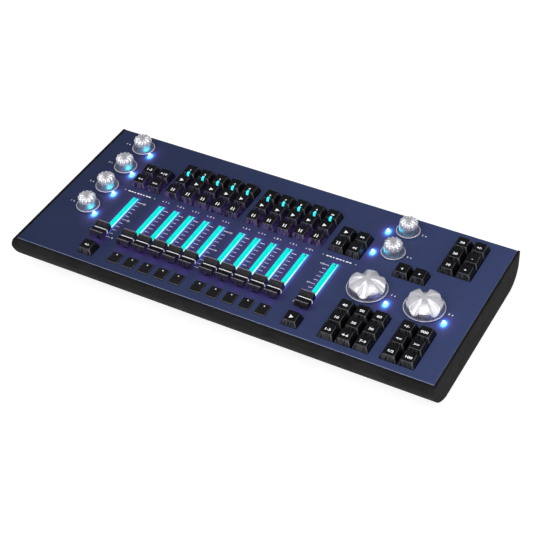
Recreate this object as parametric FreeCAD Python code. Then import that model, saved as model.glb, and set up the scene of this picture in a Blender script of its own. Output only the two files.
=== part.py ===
"""Compact lighting control desk: a wing with faders, keys and encoders on one sloping-nosed case.

Millimetres. X runs along the desk to the right, Y to the back, Z up. The origin is the middle of the
footprint on the surface that the rubber feet stand on. Places on the control panel are written as
(u, v): u to the right and v to the back from the panel's front left corner, and w above its top face.
"""
import FreeCAD, Part
import math
import os

# ---- driving dimensions -------------------------------------------------------------------------
panel_width = 487.5
panel_depth = 215.3
panel_thickness = 2.0
panel_edge_chamfer = 0.5
case_height = 40.0
foot_height = 3.0
foot_radius = 8.0
wall = 2.4
cheek_gap = 0.5
cheek_rim = 2.5
cheek_ring_depth = 8.0
cheek_ring_width = 3.2
cheek_ring_top = -5.2
cheek_slip = 0.1
rim_front = -3.6
rim_inner = -0.6
ledge_back = 3.0
nose_front = -7.6
case_back = 215.4

key_pitch = 19.05
key_base = 18.3
key_top_width = 13.0
key_top_front = -7.3
key_top_back = 6.0
key_cut_margin = 0.15
key_travel = 4.0
key_front_height = 6.8
key_back_height = 8.2
key_skirt_bottom = -1.5
key_wall = 1.3
key_roof = 1.8
key_dish_radius = 26.0
key_dish_depth = 0.55
key_post_radius = 2.8
key_post_bottom = 3.2
key_post_top = 6.3
key_stem_radius = 1.95
key_stem_bottom = -6.0
switch_body_width = 15.6
switch_head_width = 11.4
switch_shoulder = -6.2
switch_head_top = -1.0
stem_play = 0.15

board_top = -14.0
board_thickness = 1.6
board_margin = 10.0
board_front = 8.0
board_back = 197.0

fader_travel = 60.0
fader_zero = 44.0
fader_slot_front = fader_zero - 7.0
fader_slot_back = fader_zero + fader_travel + 9.0
fader_slot_width = 7.2
fader_groove = 2.4
fader_cap_base = 16.4
fader_cap_top = 15.2
fader_cap_bottom = 4.8
fader_cap_roof = 8.3
fader_body_width = 9.0
fader_body_overhang = 4.0
fader_body_top = -6.0
blade_width = 1.2
blade_depth = 6.0
blade_top = 8.0

small_flange_radius = 13.2
small_body_radius = 10.4
small_flutes = 12
small_flute_radius = 1.8
small_flute_bite = 0.9
large_flange_radius = 21.8
large_body_radius = 19.0
large_hollows = 5
large_hollow_radius = 7.0
small_knob_floor = 1.3
shaft_radius = 3.0
shaft_play = 0.05
shaft_bottom = -12.0

# ---- the layout of the controls on the panel, front left corner of each block of keys -----------
key_blocks = {
    "keys_master_block": (61.8, 128.9, 2, 2),
    "keys_crossfade_block": (308.6, 128.9, 2, 2),
    "keys_head_block": (385.6, 121.6, 2, 1),
    "keys_upper_right_block": (424.9, 147.9, 2, 3),
    "keys_number_block": (357.0, 8.8, 3, 3),
    "keys_far_right_block": (424.9, 8.8, 2, 3),
    "key_below_master": (70.6, 9.4, 1, 1),
    "key_below_crossfade": (316.6, 8.6, 1, 1),
}
bank_corners = {"bank_1": (104.4, 128.9), "bank_2": (206.4, 128.9)}
bank_columns = 5
bank_rows = ("pause", "go", "select")

flash_width = 13.6
flash_depth = 16.5
flash_play = 0.25
flash_height = 1.3
flash_centre_v = 18.5
flash_travel = 1.5
plunger_radius = 1.5
plunger_bottom = -9.0
bank_fader_starts = (113.85, 215.5)
master_fader_u = 80.1
crossfade_fader_u = 327.1

encoder_row_pitch = 38.1
encoder_row_front = 78.5
encoder_rows = 4
left_encoder_u = 39.3
right_encoder_u = 373.0
wheel_pitch = 63.5
wheel_v = 92.4
wheel_x_turn = -7.0
wheel_y_turn = 41.0
shaft_hole_radius = 7.6
led_radius = 1.6
led_play = 0.1

socket_bottom = -14.6
socket_top = -3.8
usb_u = 404.0
usb_width = 12.0
usb_depth = 16.5
dc_u = 470.0
dc_width = 9.0
dc_depth = 13.5
dc_w = -9.2

standoff_us = (50.0, 179.0, 308.0, 437.0)
standoff_vs = (40.0, 175.0)
cheek_screw_vs = (60.0, 160.0)
foot_inset = 32.0
foot_vs = (44.0, 182.0)
screw_head_radius = 2.9
screw_head_height = 1.4
screw_radius = 1.45
cheek_screw_radius = 1.2
screw_length = 7.0
screw_clearance = 0.25
over = 1.0

# ---- derived ------------------------------------------------------------------------------------
origin_u = panel_width / 2
origin_v = (nose_front + case_back) / 2
panel_top_z = foot_height + case_height
shell_left = -cheek_gap
shell_right = panel_width + cheek_gap
bank_fader_us = [start + i * key_pitch for start in bank_fader_starts for i in range(bank_columns)]
fader_us = [master_fader_u] + bank_fader_us + [crossfade_fader_u]
fader_cap_names = (["fader_cap_master"] + ["fader_cap_%02d" % n for n in range(1, 11)]
                   + ["fader_cap_crossfade"])
encoder_row_vs = [encoder_row_front + i * encoder_row_pitch for i in range(encoder_rows)]
small_encoders = {letter: (left_encoder_u, v) for letter, v in zip("abcd", encoder_row_vs)}
small_encoders["e"] = (right_encoder_u, encoder_row_vs[3])
small_encoders["f"] = (right_encoder_u, encoder_row_vs[2])
wheels = {
    "x": (right_encoder_u, wheel_v),
    "y": (right_encoder_u + wheel_pitch, wheel_v),
}
led_offsets = {"a": (14.4, -9.2), "b": (14.4, -9.2), "c": (14.4, -9.2), "d": (14.4, -9.2),
               "e": (-18.8, -10.0), "f": (-19.3, -8.8), "x": (26.4, -12.3), "y": (26.3, -12.0)}


# ---- helpers --------------------------------------------------------------------------------------
def at(u, v, w):
    """A point of the panel's own (u, v, w) in the part's frame."""
    return FreeCAD.Vector(u - origin_u, v - origin_v, panel_top_z + w)


def block(u0, u1, v0, v1, w0, w1):
    return Part.makeBox(u1 - u0, v1 - v0, w1 - w0, at(u0, v0, w0))


def centred_block(u, v, width, depth, w0, w1):
    return block(u - width / 2, u + width / 2, v - depth / 2, v + depth / 2, w0, w1)


def rod(u, v, radius, w0, w1):
    return Part.makeCylinder(radius, w1 - w0, at(u, v, w0))


def turned(u, v, outline):
    """A solid of revolution about the vertical through (u, v) from (radius, w) points."""
    points = [at(u, v, 0) + FreeCAD.Vector(r, 0, w) for r, w in outline]
    face = Part.Face(Part.makePolygon(points + [points[0]]))
    return face.revolve(at(u, v, 0), FreeCAD.Vector(0, 0, 1), 360)


def edges_at(solid, z):
    """The edges that lie level at the height z."""
    return [e for e in solid.Edges if all(abs(end.Point.z - z) < 1e-6 for end in e.Vertexes)]


def save(name, solids):
    shape = Part.Compound(solids) if len(solids) > 1 else solids[0]
    shape.exportStep("parts/%s.step" % name)


# ---- the case ---------------------------------------------------------------------------------------
def case_face(u, inset, top):
    """The case's side outline, moved in by inset and cut off flat at the height top."""
    rim, nose, belly, heel, tail, top_back = (at(u, v, w) for v, w in (
        (rim_front, 0), (nose_front, -7.0), (27.0, -case_height), (190.0, -case_height),
        (case_back, -17.0), (case_back, 0)))
    edges = [
        Part.Arc(rim, at(u, -6.7, -2.5), nose).toShape(),
        Part.Arc(nose, at(u, 2.6, -25.6), belly).toShape(),
        Part.LineSegment(belly, heel).toShape(),
        Part.Arc(heel, at(u, 208.1, -33.6), tail).toShape(),
        Part.LineSegment(tail, top_back).toShape(),
        Part.LineSegment(top_back, rim).toShape(),
    ]
    face = Part.Face(Part.Wire(edges))
    if inset:
        face = face.makeOffset2D(-inset)
    if top < 0:
        face = face.cut(block(u - over, u + over, nose_front - over, case_back + over, top, over))
    return face


def prism(u0, u1, inset, top):
    return case_face(u0, inset, top).extrude(FreeCAD.Vector(u1 - u0, 0, 0))


def socket_block(u, width, depth):
    """The block that a socket fills, flush with the back of the case."""
    return block(u - width / 2, u + width / 2, case_back - depth, case_back, socket_bottom, socket_top)


def standoff_places():
    return [(u, v) for u in standoff_us for v in standoff_vs]


def cheek_screw_places():
    """Through the floor into the ring of each cheek."""
    inner = cheek_ring_depth / 2 - cheek_gap
    return [(u, v) for u in (inner, panel_width - inner) for v in cheek_screw_vs]


def screw_hole(u, v):
    """A clearance hole with a countersink, a little larger than the screw all round."""
    floor = -case_height
    radius = screw_radius + screw_clearance
    shaft = rod(u, v, radius, floor - over, floor + wall + over)
    height = screw_head_height + screw_clearance
    head = Part.makeCone(screw_head_radius + screw_clearance, radius, height, at(u, v, floor))
    return shaft.fuse(head)


def lower_shell():
    """A trough with a rounded nose, open at the top, with a ledge under the panel's front edge."""
    left = shell_left - over
    right = shell_right + over
    outer = prism(shell_left, shell_right, 0, 0)
    hollow = prism(left, right, wall, -panel_thickness)
    ledge = block(shell_left, shell_right, rim_inner - 0.9, ledge_back, -5.0, -panel_thickness)
    seat = block(left, right, rim_inner, case_back + over, -panel_thickness, over)
    throat = block(left, right, ledge_back, case_back - wall, -6.0, over)
    shell = outer.cut(hollow).fuse(ledge)
    usb_hole = socket_block(usb_u, usb_width, usb_depth)
    dc_hole = socket_block(dc_u, dc_width, dc_depth)
    for tool in (seat, throat, usb_hole, dc_hole):
        shell = shell.cut(tool)
    for u, v in standoff_places() + cheek_screw_places():
        shell = shell.cut(screw_hole(u, v))
    return [shell.removeSplitter()]


def cheek(side):
    """An end plate with a ring behind it that plugs into the end of the trough."""
    if side == "left":
        plate = prism(shell_left - cheek_rim, shell_left, 0, 0)
        ring_u0, ring_u1 = shell_left, shell_left + cheek_ring_depth
    else:
        plate = prism(shell_right, shell_right + cheek_rim, 0, 0)
        ring_u0, ring_u1 = shell_right - cheek_ring_depth, shell_right
    slip = wall + cheek_slip
    ring = prism(ring_u0, ring_u1, slip, cheek_ring_top)
    core = prism(ring_u0 - over, ring_u1 + over, slip + cheek_ring_width, cheek_ring_top - cheek_ring_width)
    solid = plate.fuse(ring.cut(core))
    floor = -case_height
    for u, v in cheek_screw_places():
        solid = solid.cut(rod(u, v, cheek_screw_radius + 0.05, floor, floor + screw_length + over))
    return [solid.removeSplitter()]


def rubber_feet():
    """Four turned feet with a small bevel, glued under the floor."""
    bevel = 0.8
    outline = [(0, 0), (foot_radius - bevel, 0), (foot_radius, bevel), (foot_radius, foot_height),
               (0, foot_height)]
    outline = [(r, w - case_height - foot_height) for r, w in outline]
    return [turned(u, v, outline) for u in (foot_inset, panel_width - foot_inset) for v in foot_vs]


def case_screw(u, v, radius):
    """A countersunk screw, its head flush with the floor, with a cross recess."""
    floor = -case_height
    cross, blade, recess_depth = 2.6, 0.6, 0.7
    head = Part.makeCone(screw_head_radius, radius, screw_head_height, at(u, v, floor))
    thread = rod(u, v, radius, floor + screw_head_height, floor + screw_length)
    recess = centred_block(u, v, cross, blade, floor, floor + recess_depth)
    recess = recess.fuse(centred_block(u, v, blade, cross, floor, floor + recess_depth))
    return head.fuse(thread).cut(recess)


def case_screws():
    screws = [case_screw(u, v, screw_radius) for u, v in standoff_places()]
    return screws + [case_screw(u, v, cheek_screw_radius) for u, v in cheek_screw_places()]


def usb_socket():
    """A square data socket: a metal box around a recessed tongue."""
    mouth_half, mouth_depth, rim = 4.25, 12.0, 1.5
    tongue_half, tongue_setback = 2.8, 5.2
    mouth = block(usb_u - mouth_half, usb_u + mouth_half, case_back - mouth_depth, case_back + over,
                  socket_bottom + rim, socket_top - rim)
    tongue = block(usb_u - tongue_half, usb_u + tongue_half, case_back - mouth_depth,
                   case_back - tongue_setback, -10.8, -7.6)
    return [socket_block(usb_u, usb_width, usb_depth).cut(mouth).fuse(tongue)]


def dc_inlet():
    """A round power inlet with its centre pin."""
    bore_radius, bore_depth = 3.2, 10.0
    pin_radius, pin_setback = 1.0, 1.5
    back = FreeCAD.Vector(0, 1, 0)
    start = at(dc_u, case_back - bore_depth, dc_w)
    bore = Part.makeCylinder(bore_radius, bore_depth + over, start, back)
    pin = Part.makeCylinder(pin_radius, bore_depth - pin_setback, start, back)
    return [socket_block(dc_u, dc_width, dc_depth).cut(bore).fuse(pin)]


# ---- the control panel ------------------------------------------------------------------------------
def through_panel(u0, u1, v0, v1):
    return block(u0, u1, v0, v1, -panel_thickness - over, over)


def round_through_panel(u, v, radius):
    return rod(u, v, radius, -panel_thickness - over, over)


def block_cut(u, v, columns, rows):
    width = columns * key_pitch - 2 * key_cut_margin
    depth = rows * key_pitch - 2 * key_cut_margin
    return through_panel(u, u + width, v, v + depth)


def encoder_places():
    return list(small_encoders.values()) + list(wheels.values())


def led_places():
    """Beside each encoder, on the side where its lamp stands."""
    centres = {**small_encoders, **wheels}
    return [(u + led_offsets[name][0], v + led_offsets[name][1]) for name, (u, v) in centres.items()]


def top_panel():
    """A flat aluminium sheet with a fine chamfer and a cut-out for each group of controls."""
    sheet = block(0, panel_width, 0, panel_depth, -panel_thickness, 0)
    sheet = sheet.makeChamfer(panel_edge_chamfer, edges_at(sheet, panel_top_z))
    cuts = [block_cut(*place) for place in key_blocks.values()]
    cuts += [block_cut(u, v, bank_columns, len(bank_rows)) for u, v in bank_corners.values()]
    slot = fader_slot_width / 2
    cuts += [through_panel(u - slot, u + slot, fader_slot_front, fader_slot_back) for u in fader_us]
    half = flash_width / 2
    front = flash_centre_v - flash_depth / 2
    cuts += [through_panel(u - half, u + half, front, front + flash_depth) for u in bank_fader_us]
    cuts += [round_through_panel(u, v, shaft_hole_radius) for u, v in encoder_places()]
    cuts += [round_through_panel(u, v, led_radius + led_play) for u, v in led_places()]
    return [sheet.cut(cuts)]


# ---- keys -----------------------------------------------------------------------------------------
def tapered(u, v, base, top_width, v_front, v_back, w_front, w_back):
    """A loft from a square base to a narrower, sloping top: the shape of a keycap."""
    half = base / 2
    side = top_width / 2
    low = [at(u + du, v + dv, key_skirt_bottom)
           for du, dv in ((-half, -half), (half, -half), (half, half), (-half, half))]
    high = [at(u - side, v + v_front, w_front), at(u + side, v + v_front, w_front),
            at(u + side, v + v_back, w_back), at(u - side, v + v_back, w_back)]
    wires = [Part.makePolygon(loop + [loop[0]]) for loop in (low, high)]
    return Part.makeLoft(wires, True, True)


def key_dish(u, v):
    """A cylinder lying along the sloping top of a key, which hollows it from side to side."""
    slope = FreeCAD.Vector(0, key_top_back - key_top_front, key_back_height - key_front_height)
    normal = FreeCAD.Vector(0, -slope.z, slope.y)
    slope.normalize()
    normal.normalize()
    middle = at(u, v + (key_top_front + key_top_back) / 2, (key_front_height + key_back_height) / 2)
    axis_point = middle + normal * (key_dish_radius - key_dish_depth)
    return Part.makeCylinder(key_dish_radius, 2 * key_base, axis_point - slope * key_base, slope)


def keycap(u, v):
    """A hollow cap with a dished, sloping top, four drawn-in sides and a post inside."""
    outer = tapered(u, v, key_base, key_top_width, key_top_front, key_top_back,
                    key_front_height, key_back_height)
    inner_top = key_top_width - 2 * key_wall + 0.7
    inner = tapered(u, v, key_base - 2 * key_wall, inner_top, key_top_front + key_wall,
                    key_top_back - key_wall, key_front_height - key_roof, key_back_height - key_roof)
    post = rod(u, v, key_post_radius, key_post_bottom, key_post_top)
    return outer.cut(key_dish(u, v)).cut(inner).fuse(post)


def key_stem(u, v):
    """The switch's own plunger, pressed against the cap's post and moving with it."""
    return rod(u, v, key_stem_radius, key_stem_bottom, key_post_bottom)


def key_switch(u, v):
    """The switch under a key: a box on the board with a narrower head and a bore for the stem."""
    body = centred_block(u, v, switch_body_width, switch_body_width, board_top, switch_shoulder)
    head = centred_block(u, v, switch_head_width, switch_head_width, switch_shoulder, switch_head_top)
    bore_bottom = key_stem_bottom - key_travel - 1.0
    bore = rod(u, v, key_stem_radius + stem_play, bore_bottom, switch_head_top + over)
    return body.fuse(head).cut(bore)


def key_centres(u, v, columns, rows):
    first_u = u - key_cut_margin + key_pitch / 2
    first_v = v - key_cut_margin + key_pitch / 2
    return [(first_u + i * key_pitch, first_v + j * key_pitch)
            for j in range(rows) for i in range(columns)]


def key_groups():
    """Every node of keys with the centres of its keys."""
    groups = {name: key_centres(*place) for name, place in key_blocks.items()}
    for bank, (u, v) in bank_corners.items():
        centres = key_centres(u, v, bank_columns, len(bank_rows))
        for j, row in enumerate(bank_rows):
            groups["keys_%s_%s" % (bank, row)] = centres[j * bank_columns:(j + 1) * bank_columns]
    return groups


def key_group(centres):
    solids = []
    for u, v in centres:
        solids += [keycap(u, v), key_stem(u, v)]
    return solids


def flash_button(u):
    """A low button with a slightly raised, round-edged face and a plunger below."""
    v = flash_centre_v
    width = flash_width - 2 * flash_play
    depth = flash_depth - 2 * flash_play
    skin, skirt_bottom, face_bottom = 1.2, -4.0, -0.6
    cap = centred_block(u, v, width, depth, skirt_bottom, flash_height)
    cap = cap.makeFillet(0.7, edges_at(cap, panel_top_z + flash_height))
    hollow = centred_block(u, v, width - 2 * skin, depth - 2 * skin, skirt_bottom - over, face_bottom)
    plunger = rod(u, v, plunger_radius, plunger_bottom, face_bottom)
    return [cap.cut(hollow), plunger]


def flash_switch(u):
    """A small square tact switch with a bore for the button's plunger."""
    width, top = 6.0, -6.6
    body = centred_block(u, flash_centre_v, width, width, board_top, top)
    bore_bottom = plunger_bottom - flash_travel - 1.0
    return body.cut(rod(u, flash_centre_v, plunger_radius + stem_play, bore_bottom, top + over))


# ---- faders -----------------------------------------------------------------------------------------
def fader_cap(u):
    """A cap with a front block, a high back block and a dished waist, hollow around its blade socket."""
    v = fader_zero
    left = u - fader_cap_base / 2
    front = [(-10.4, fader_cap_bottom), (-10.1, 8.0), (-9.2, 11.9), (-7.8, 12.3)]
    waist = (0.0, 9.9)
    back = [(5.9, 13.9), (7.6, 13.9), (9.0, fader_cap_bottom)]
    front_points = [at(left, v + dv, w) for dv, w in front]
    back_points = [at(left, v + dv, w) for dv, w in back]
    edges = [Part.LineSegment(a, b).toShape() for a, b in zip(front_points, front_points[1:])]
    edges.append(Part.Arc(front_points[-1], at(left, v + waist[0], waist[1]), back_points[0]).toShape())
    closing = back_points[1:] + front_points[:1]
    edges += [Part.LineSegment(a, b).toShape() for a, b in zip(back_points, closing)]
    body = Part.Face(Part.Wire(edges)).extrude(FreeCAD.Vector(fader_cap_base, 0, 0))
    for side in (-1, 1):
        body = body.cut(fader_cap_draft(u, v, side))
    opening = fader_cap_bottom - over
    hollow = centred_block(u, v - 1.0, 11.0, 15.0, opening, fader_cap_roof)
    socket = centred_block(u, v, 4.0, 9.0, opening, fader_cap_roof)
    blade_slot = centred_block(u, v, blade_width, blade_depth, opening, blade_top)
    return body.cut(hollow.cut(socket)).cut(blade_slot)


def fader_cap_draft(u, v, side):
    """The wedge that leans one side of a fader cap inwards towards its top."""
    high, reach = 14.5, 15.0
    foot = u + side * fader_cap_base / 2
    top = u + side * fader_cap_top / 2
    out = foot + side * 2
    corners = [(foot, fader_cap_bottom), (top, high), (out, high), (out, fader_cap_bottom)]
    points = [at(cu, v - reach, w) for cu, w in corners]
    return Part.Face(Part.makePolygon(points + [points[0]])).extrude(FreeCAD.Vector(0, 2 * reach, 0))


def fader_blade(u):
    """The steel blade that carries a cap, and the carriage that it stands on inside the channel."""
    carriage_top, carriage_bottom = -9.0, -12.0
    blade = centred_block(u, fader_zero, blade_width, blade_depth, carriage_top, blade_top)
    carriage = centred_block(u, fader_zero, 5.2, 8.0, carriage_bottom, carriage_top)
    return blade.fuse(carriage)


def fader_body(u):
    """A slide potentiometer's metal channel, slotted along its top."""
    front = fader_slot_front - fader_body_overhang - 1.0
    back = fader_slot_back + fader_body_overhang - 1.0
    half = fader_body_width / 2
    side, floor, roof = 1.3, 1.4, 1.2
    shell = block(u - half, u + half, front, back, board_top, fader_body_top)
    hollow = block(u - half + side, u + half - side, front + 4.0, back - 4.0,
                   board_top + floor, fader_body_top - roof)
    slot = block(u - 1.1, u + 1.1, front + 7.0, back - 7.0,
                 fader_body_top - roof - over, fader_body_top + over)
    return shell.cut(hollow).cut(slot)


def light_guides(u):
    """The two lit bars in a fader's slot, one each side of the blade."""
    play, end_play = 0.05, 0.1
    half = fader_slot_width / 2 - play
    groove = fader_groove / 2
    bottom, top = -5.6, -0.15
    front = fader_slot_front + end_play
    back = fader_slot_back - end_play
    return [block(u - half, u - groove, front, back, bottom, top),
            block(u + groove, u + half, front, back, bottom, top)]


# ---- encoders -----------------------------------------------------------------------------------------
def encoder_body(u, v):
    """A square rotary encoder with a round bushing and a bore for its shaft."""
    width, shoulder, bushing_radius, bushing_top = 13.0, -6.8, 4.6, 0.8
    body = centred_block(u, v, width, width, board_top, shoulder)
    bushing = rod(u, v, bushing_radius, shoulder, bushing_top)
    bore = rod(u, v, shaft_radius + shaft_play, shaft_bottom - 0.4, bushing_top + over)
    return body.fuse(bushing).cut(bore)


def encoder_shaft(u, v, top):
    return rod(u, v, shaft_radius, shaft_bottom, top)


def fluted(solid, u, v, radius, w0, w1):
    """Round hollows down the outside of a small knob."""
    reach = radius + small_flute_radius - small_flute_bite
    for i in range(small_flutes):
        angle = 2 * math.pi * (i + 0.5) / small_flutes
        flute = rod(u + reach * math.cos(angle), v + reach * math.sin(angle), small_flute_radius, w0, w1)
        solid = solid.cut(flute)
    return solid


def small_knob(u, v):
    """A clear fluted knob on a wide clear skirt, with a silvered cap and a shaft."""
    r = small_body_radius
    skirt = small_flange_radius
    low = small_knob_floor
    split = 8.8
    clear = turned(u, v, [(shaft_radius, low), (6.0, low), (6.0, 6.5), (7.6, 6.5), (8.0, low),
                          (skirt - 0.4, low), (skirt, 1.7), (skirt, 2.0), (skirt - 0.4, 2.4),
                          (r - 0.8, 2.6), (r - 0.2, split), (shaft_radius, split)])
    clear = fluted(clear, u, v, r, 2.6, split + over)
    top = 16.4
    cap = turned(u, v, [(0, split), (r - 0.1, split), (r - 0.4, 12.0), (r - 1.4, 14.3), (r - 3.2, 15.6),
                        (r - 5.9, 16.2), (0, top)])
    cap = fluted(cap, u, v, r, split - over, top + over)
    return [clear, cap, encoder_shaft(u, v, split)]


def large_knob_dome(centre, split):
    """The silvered dome of a large knob before its hollows are cut."""
    r = large_body_radius
    points = [centre + FreeCAD.Vector(radius, 0, w) for radius, w in
              ((0, split), (r, split), (r + 0.1, 8.8), (r - 1.0, 11.2), (r - 5.0, 13.9), (r - 9.0, 15.2),
               (0, 15.6))]
    edges = [
        Part.LineSegment(points[0], points[1]).toShape(),
        Part.Arc(points[1], points[2], points[3]).toShape(),
        Part.Arc(points[3], points[4], points[5]).toShape(),
        Part.LineSegment(points[5], points[6]).toShape(),
        Part.LineSegment(points[6], points[0]).toShape(),
    ]
    return Part.Face(Part.Wire(edges)).revolve(centre, FreeCAD.Vector(0, 0, 1), 360)


def finger_hollow(centre, angle):
    """A cylinder sloping outwards and down from near the top of a large knob."""
    slope = math.atan2(10.6, 12.5)
    start_radius, start_height, length, run_in = 6.5, 15.2, 40.0, 12.0
    out = FreeCAD.Vector(math.cos(angle), math.sin(angle), 0)
    up = FreeCAD.Vector(0, 0, 1)
    along = out * math.cos(slope) - up * math.sin(slope)
    normal = out * math.sin(slope) + up * math.cos(slope)
    start = centre + out * start_radius + up * start_height + normal * large_hollow_radius
    return Part.makeCylinder(large_hollow_radius, length, start - along * run_in, along)


def large_knob(u, v, turn):
    """A clear skirted wheel whose silvered dome has five finger hollows running up to its middle."""
    r = large_body_radius
    skirt = large_flange_radius
    low = small_knob_floor
    split = 6.2
    clear = turned(u, v, [(shaft_radius, low), (9.0, low), (9.0, 4.4), (16.6, 4.4), (16.9, low),
                          (skirt - 0.5, low), (skirt, 1.8), (skirt, 2.2), (skirt - 0.5, 2.7),
                          (r - 0.6, 2.9), (r - 0.1, split), (shaft_radius, split)])
    centre = at(u, v, 0)
    dome = large_knob_dome(centre, split)
    for i in range(large_hollows):
        hollow = finger_hollow(centre, math.radians(turn) + 2 * math.pi * i / large_hollows)
        dome = dome.cut(hollow)
        clear = clear.cut(hollow)
    return [clear, dome, encoder_shaft(u, v, split)]


def encoder_lights():
    """A domed indicator beside each encoder and a light ring under each clear knob."""
    lens = [(0, -5.0), (led_radius, -5.0), (led_radius, 2.8), (1.35, 3.5), (0.8, 4.0), (0, 4.2)]
    solids = [turned(u, v, lens) for u, v in led_places()]
    for u, v in encoder_places():
        ring = rod(u, v, shaft_hole_radius - 0.3, -3.0, 0.4)
        solids.append(ring.cut(rod(u, v, 4.9, -3.0 - over, 0.4 + over)))
    return solids


# ---- the board and what stands on it ------------------------------------------------------------
def main_board():
    bottom = board_top - board_thickness
    board = block(board_margin, panel_width - board_margin, board_front, board_back, bottom, board_top)
    for u, v in standoff_places():
        board = board.cut(rod(u, v, 1.6, bottom - over, board_top + over))
    return [board]


def board_standoffs():
    """Turned posts between the floor and the board, threaded at the bottom for the case screws."""
    floor = -case_height + wall
    posts = []
    for u, v in standoff_places():
        post = rod(u, v, 3.0, floor, board_top - board_thickness)
        posts.append(post.cut(rod(u, v, screw_radius + 0.05, floor - over, floor + 6.0)))
    return posts


def main():
    os.makedirs("parts", exist_ok=True)
    groups = key_groups()
    all_keys = [centre for centres in groups.values() for centre in centres]
    save("lower_shell", lower_shell())
    save("left_cheek", cheek("left"))
    save("right_cheek", cheek("right"))
    save("top_panel", top_panel())
    save("rubber_feet", rubber_feet())
    save("case_screws", case_screws())
    save("usb_socket", usb_socket())
    save("dc_inlet", dc_inlet())
    save("main_board", main_board())
    save("board_standoffs", board_standoffs())
    save("key_switches", [key_switch(u, v) for u, v in all_keys])
    save("flash_switches", [flash_switch(u) for u in bank_fader_us])
    save("fader_bodies", [fader_body(u) for u in fader_us])
    save("fader_light_guides", [bar for u in fader_us for bar in light_guides(u)])
    save("encoder_bodies", [encoder_body(u, v) for u, v in encoder_places()])
    save("encoder_lights", encoder_lights())
    for name, centres in groups.items():
        save(name, key_group(centres))
    for number, u in enumerate(bank_fader_us, 1):
        save("flash_button_%02d" % number, flash_button(u))
    for name, u in zip(fader_cap_names, fader_us):
        save(name, [fader_cap(u), fader_blade(u)])
    for name, (u, v) in small_encoders.items():
        save("encoder_knob_%s" % name, small_knob(u, v))
    save("encoder_knob_x", large_knob(*wheels["x"], wheel_x_turn))
    save("encoder_knob_y", large_knob(*wheels["y"], wheel_y_turn))


main()
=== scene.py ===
"""The looks of the lighting control desk: mouldings, prints, lit parts and materials over the CAD frame.

Lengths inside the piece builders are in millimetres on the control panel: u to the right and v to the
back from its front left corner, w above its top face. place() turns them into the frame's metres.
"""
import math
import bpy
from mathutils import Matrix, Vector


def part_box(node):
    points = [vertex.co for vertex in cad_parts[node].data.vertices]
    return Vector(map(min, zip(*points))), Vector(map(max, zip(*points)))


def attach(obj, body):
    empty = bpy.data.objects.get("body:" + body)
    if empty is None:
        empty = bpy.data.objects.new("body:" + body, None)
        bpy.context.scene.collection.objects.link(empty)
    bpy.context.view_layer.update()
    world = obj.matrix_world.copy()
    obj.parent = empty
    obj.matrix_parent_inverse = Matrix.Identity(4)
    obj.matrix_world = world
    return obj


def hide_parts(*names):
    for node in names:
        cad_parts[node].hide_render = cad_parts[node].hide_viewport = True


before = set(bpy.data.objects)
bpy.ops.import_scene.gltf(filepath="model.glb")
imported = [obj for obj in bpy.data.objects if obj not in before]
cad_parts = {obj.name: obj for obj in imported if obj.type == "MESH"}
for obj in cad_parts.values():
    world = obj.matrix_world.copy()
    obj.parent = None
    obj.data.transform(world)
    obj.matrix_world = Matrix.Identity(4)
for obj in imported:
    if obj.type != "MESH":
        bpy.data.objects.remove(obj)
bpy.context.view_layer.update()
MM = 0.001
EULER = 2.718
NO_DIVIDE_BY_ZERO = 0.0001
MIX_COLOURS, MIX_RESULT = (6, 7), 2  # the sockets of a Mix node that carry colours

panel_low, panel_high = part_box("top_panel")
flash_names = ["flash_button_%02d" % n for n in range(1, 11)]
fader_names = ["fader_cap_master"] + ["fader_cap_%02d" % n for n in range(1, 11)] + ["fader_cap_crossfade"]
small_knobs = "abcdef"


def place(u, v, w):
    return Vector((panel_low.x + u * MM, panel_low.y + v * MM, panel_high.z + w * MM))


def panel_uv(point):
    return (point.x - panel_low.x) / MM, (point.y - panel_low.y) / MM


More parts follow.
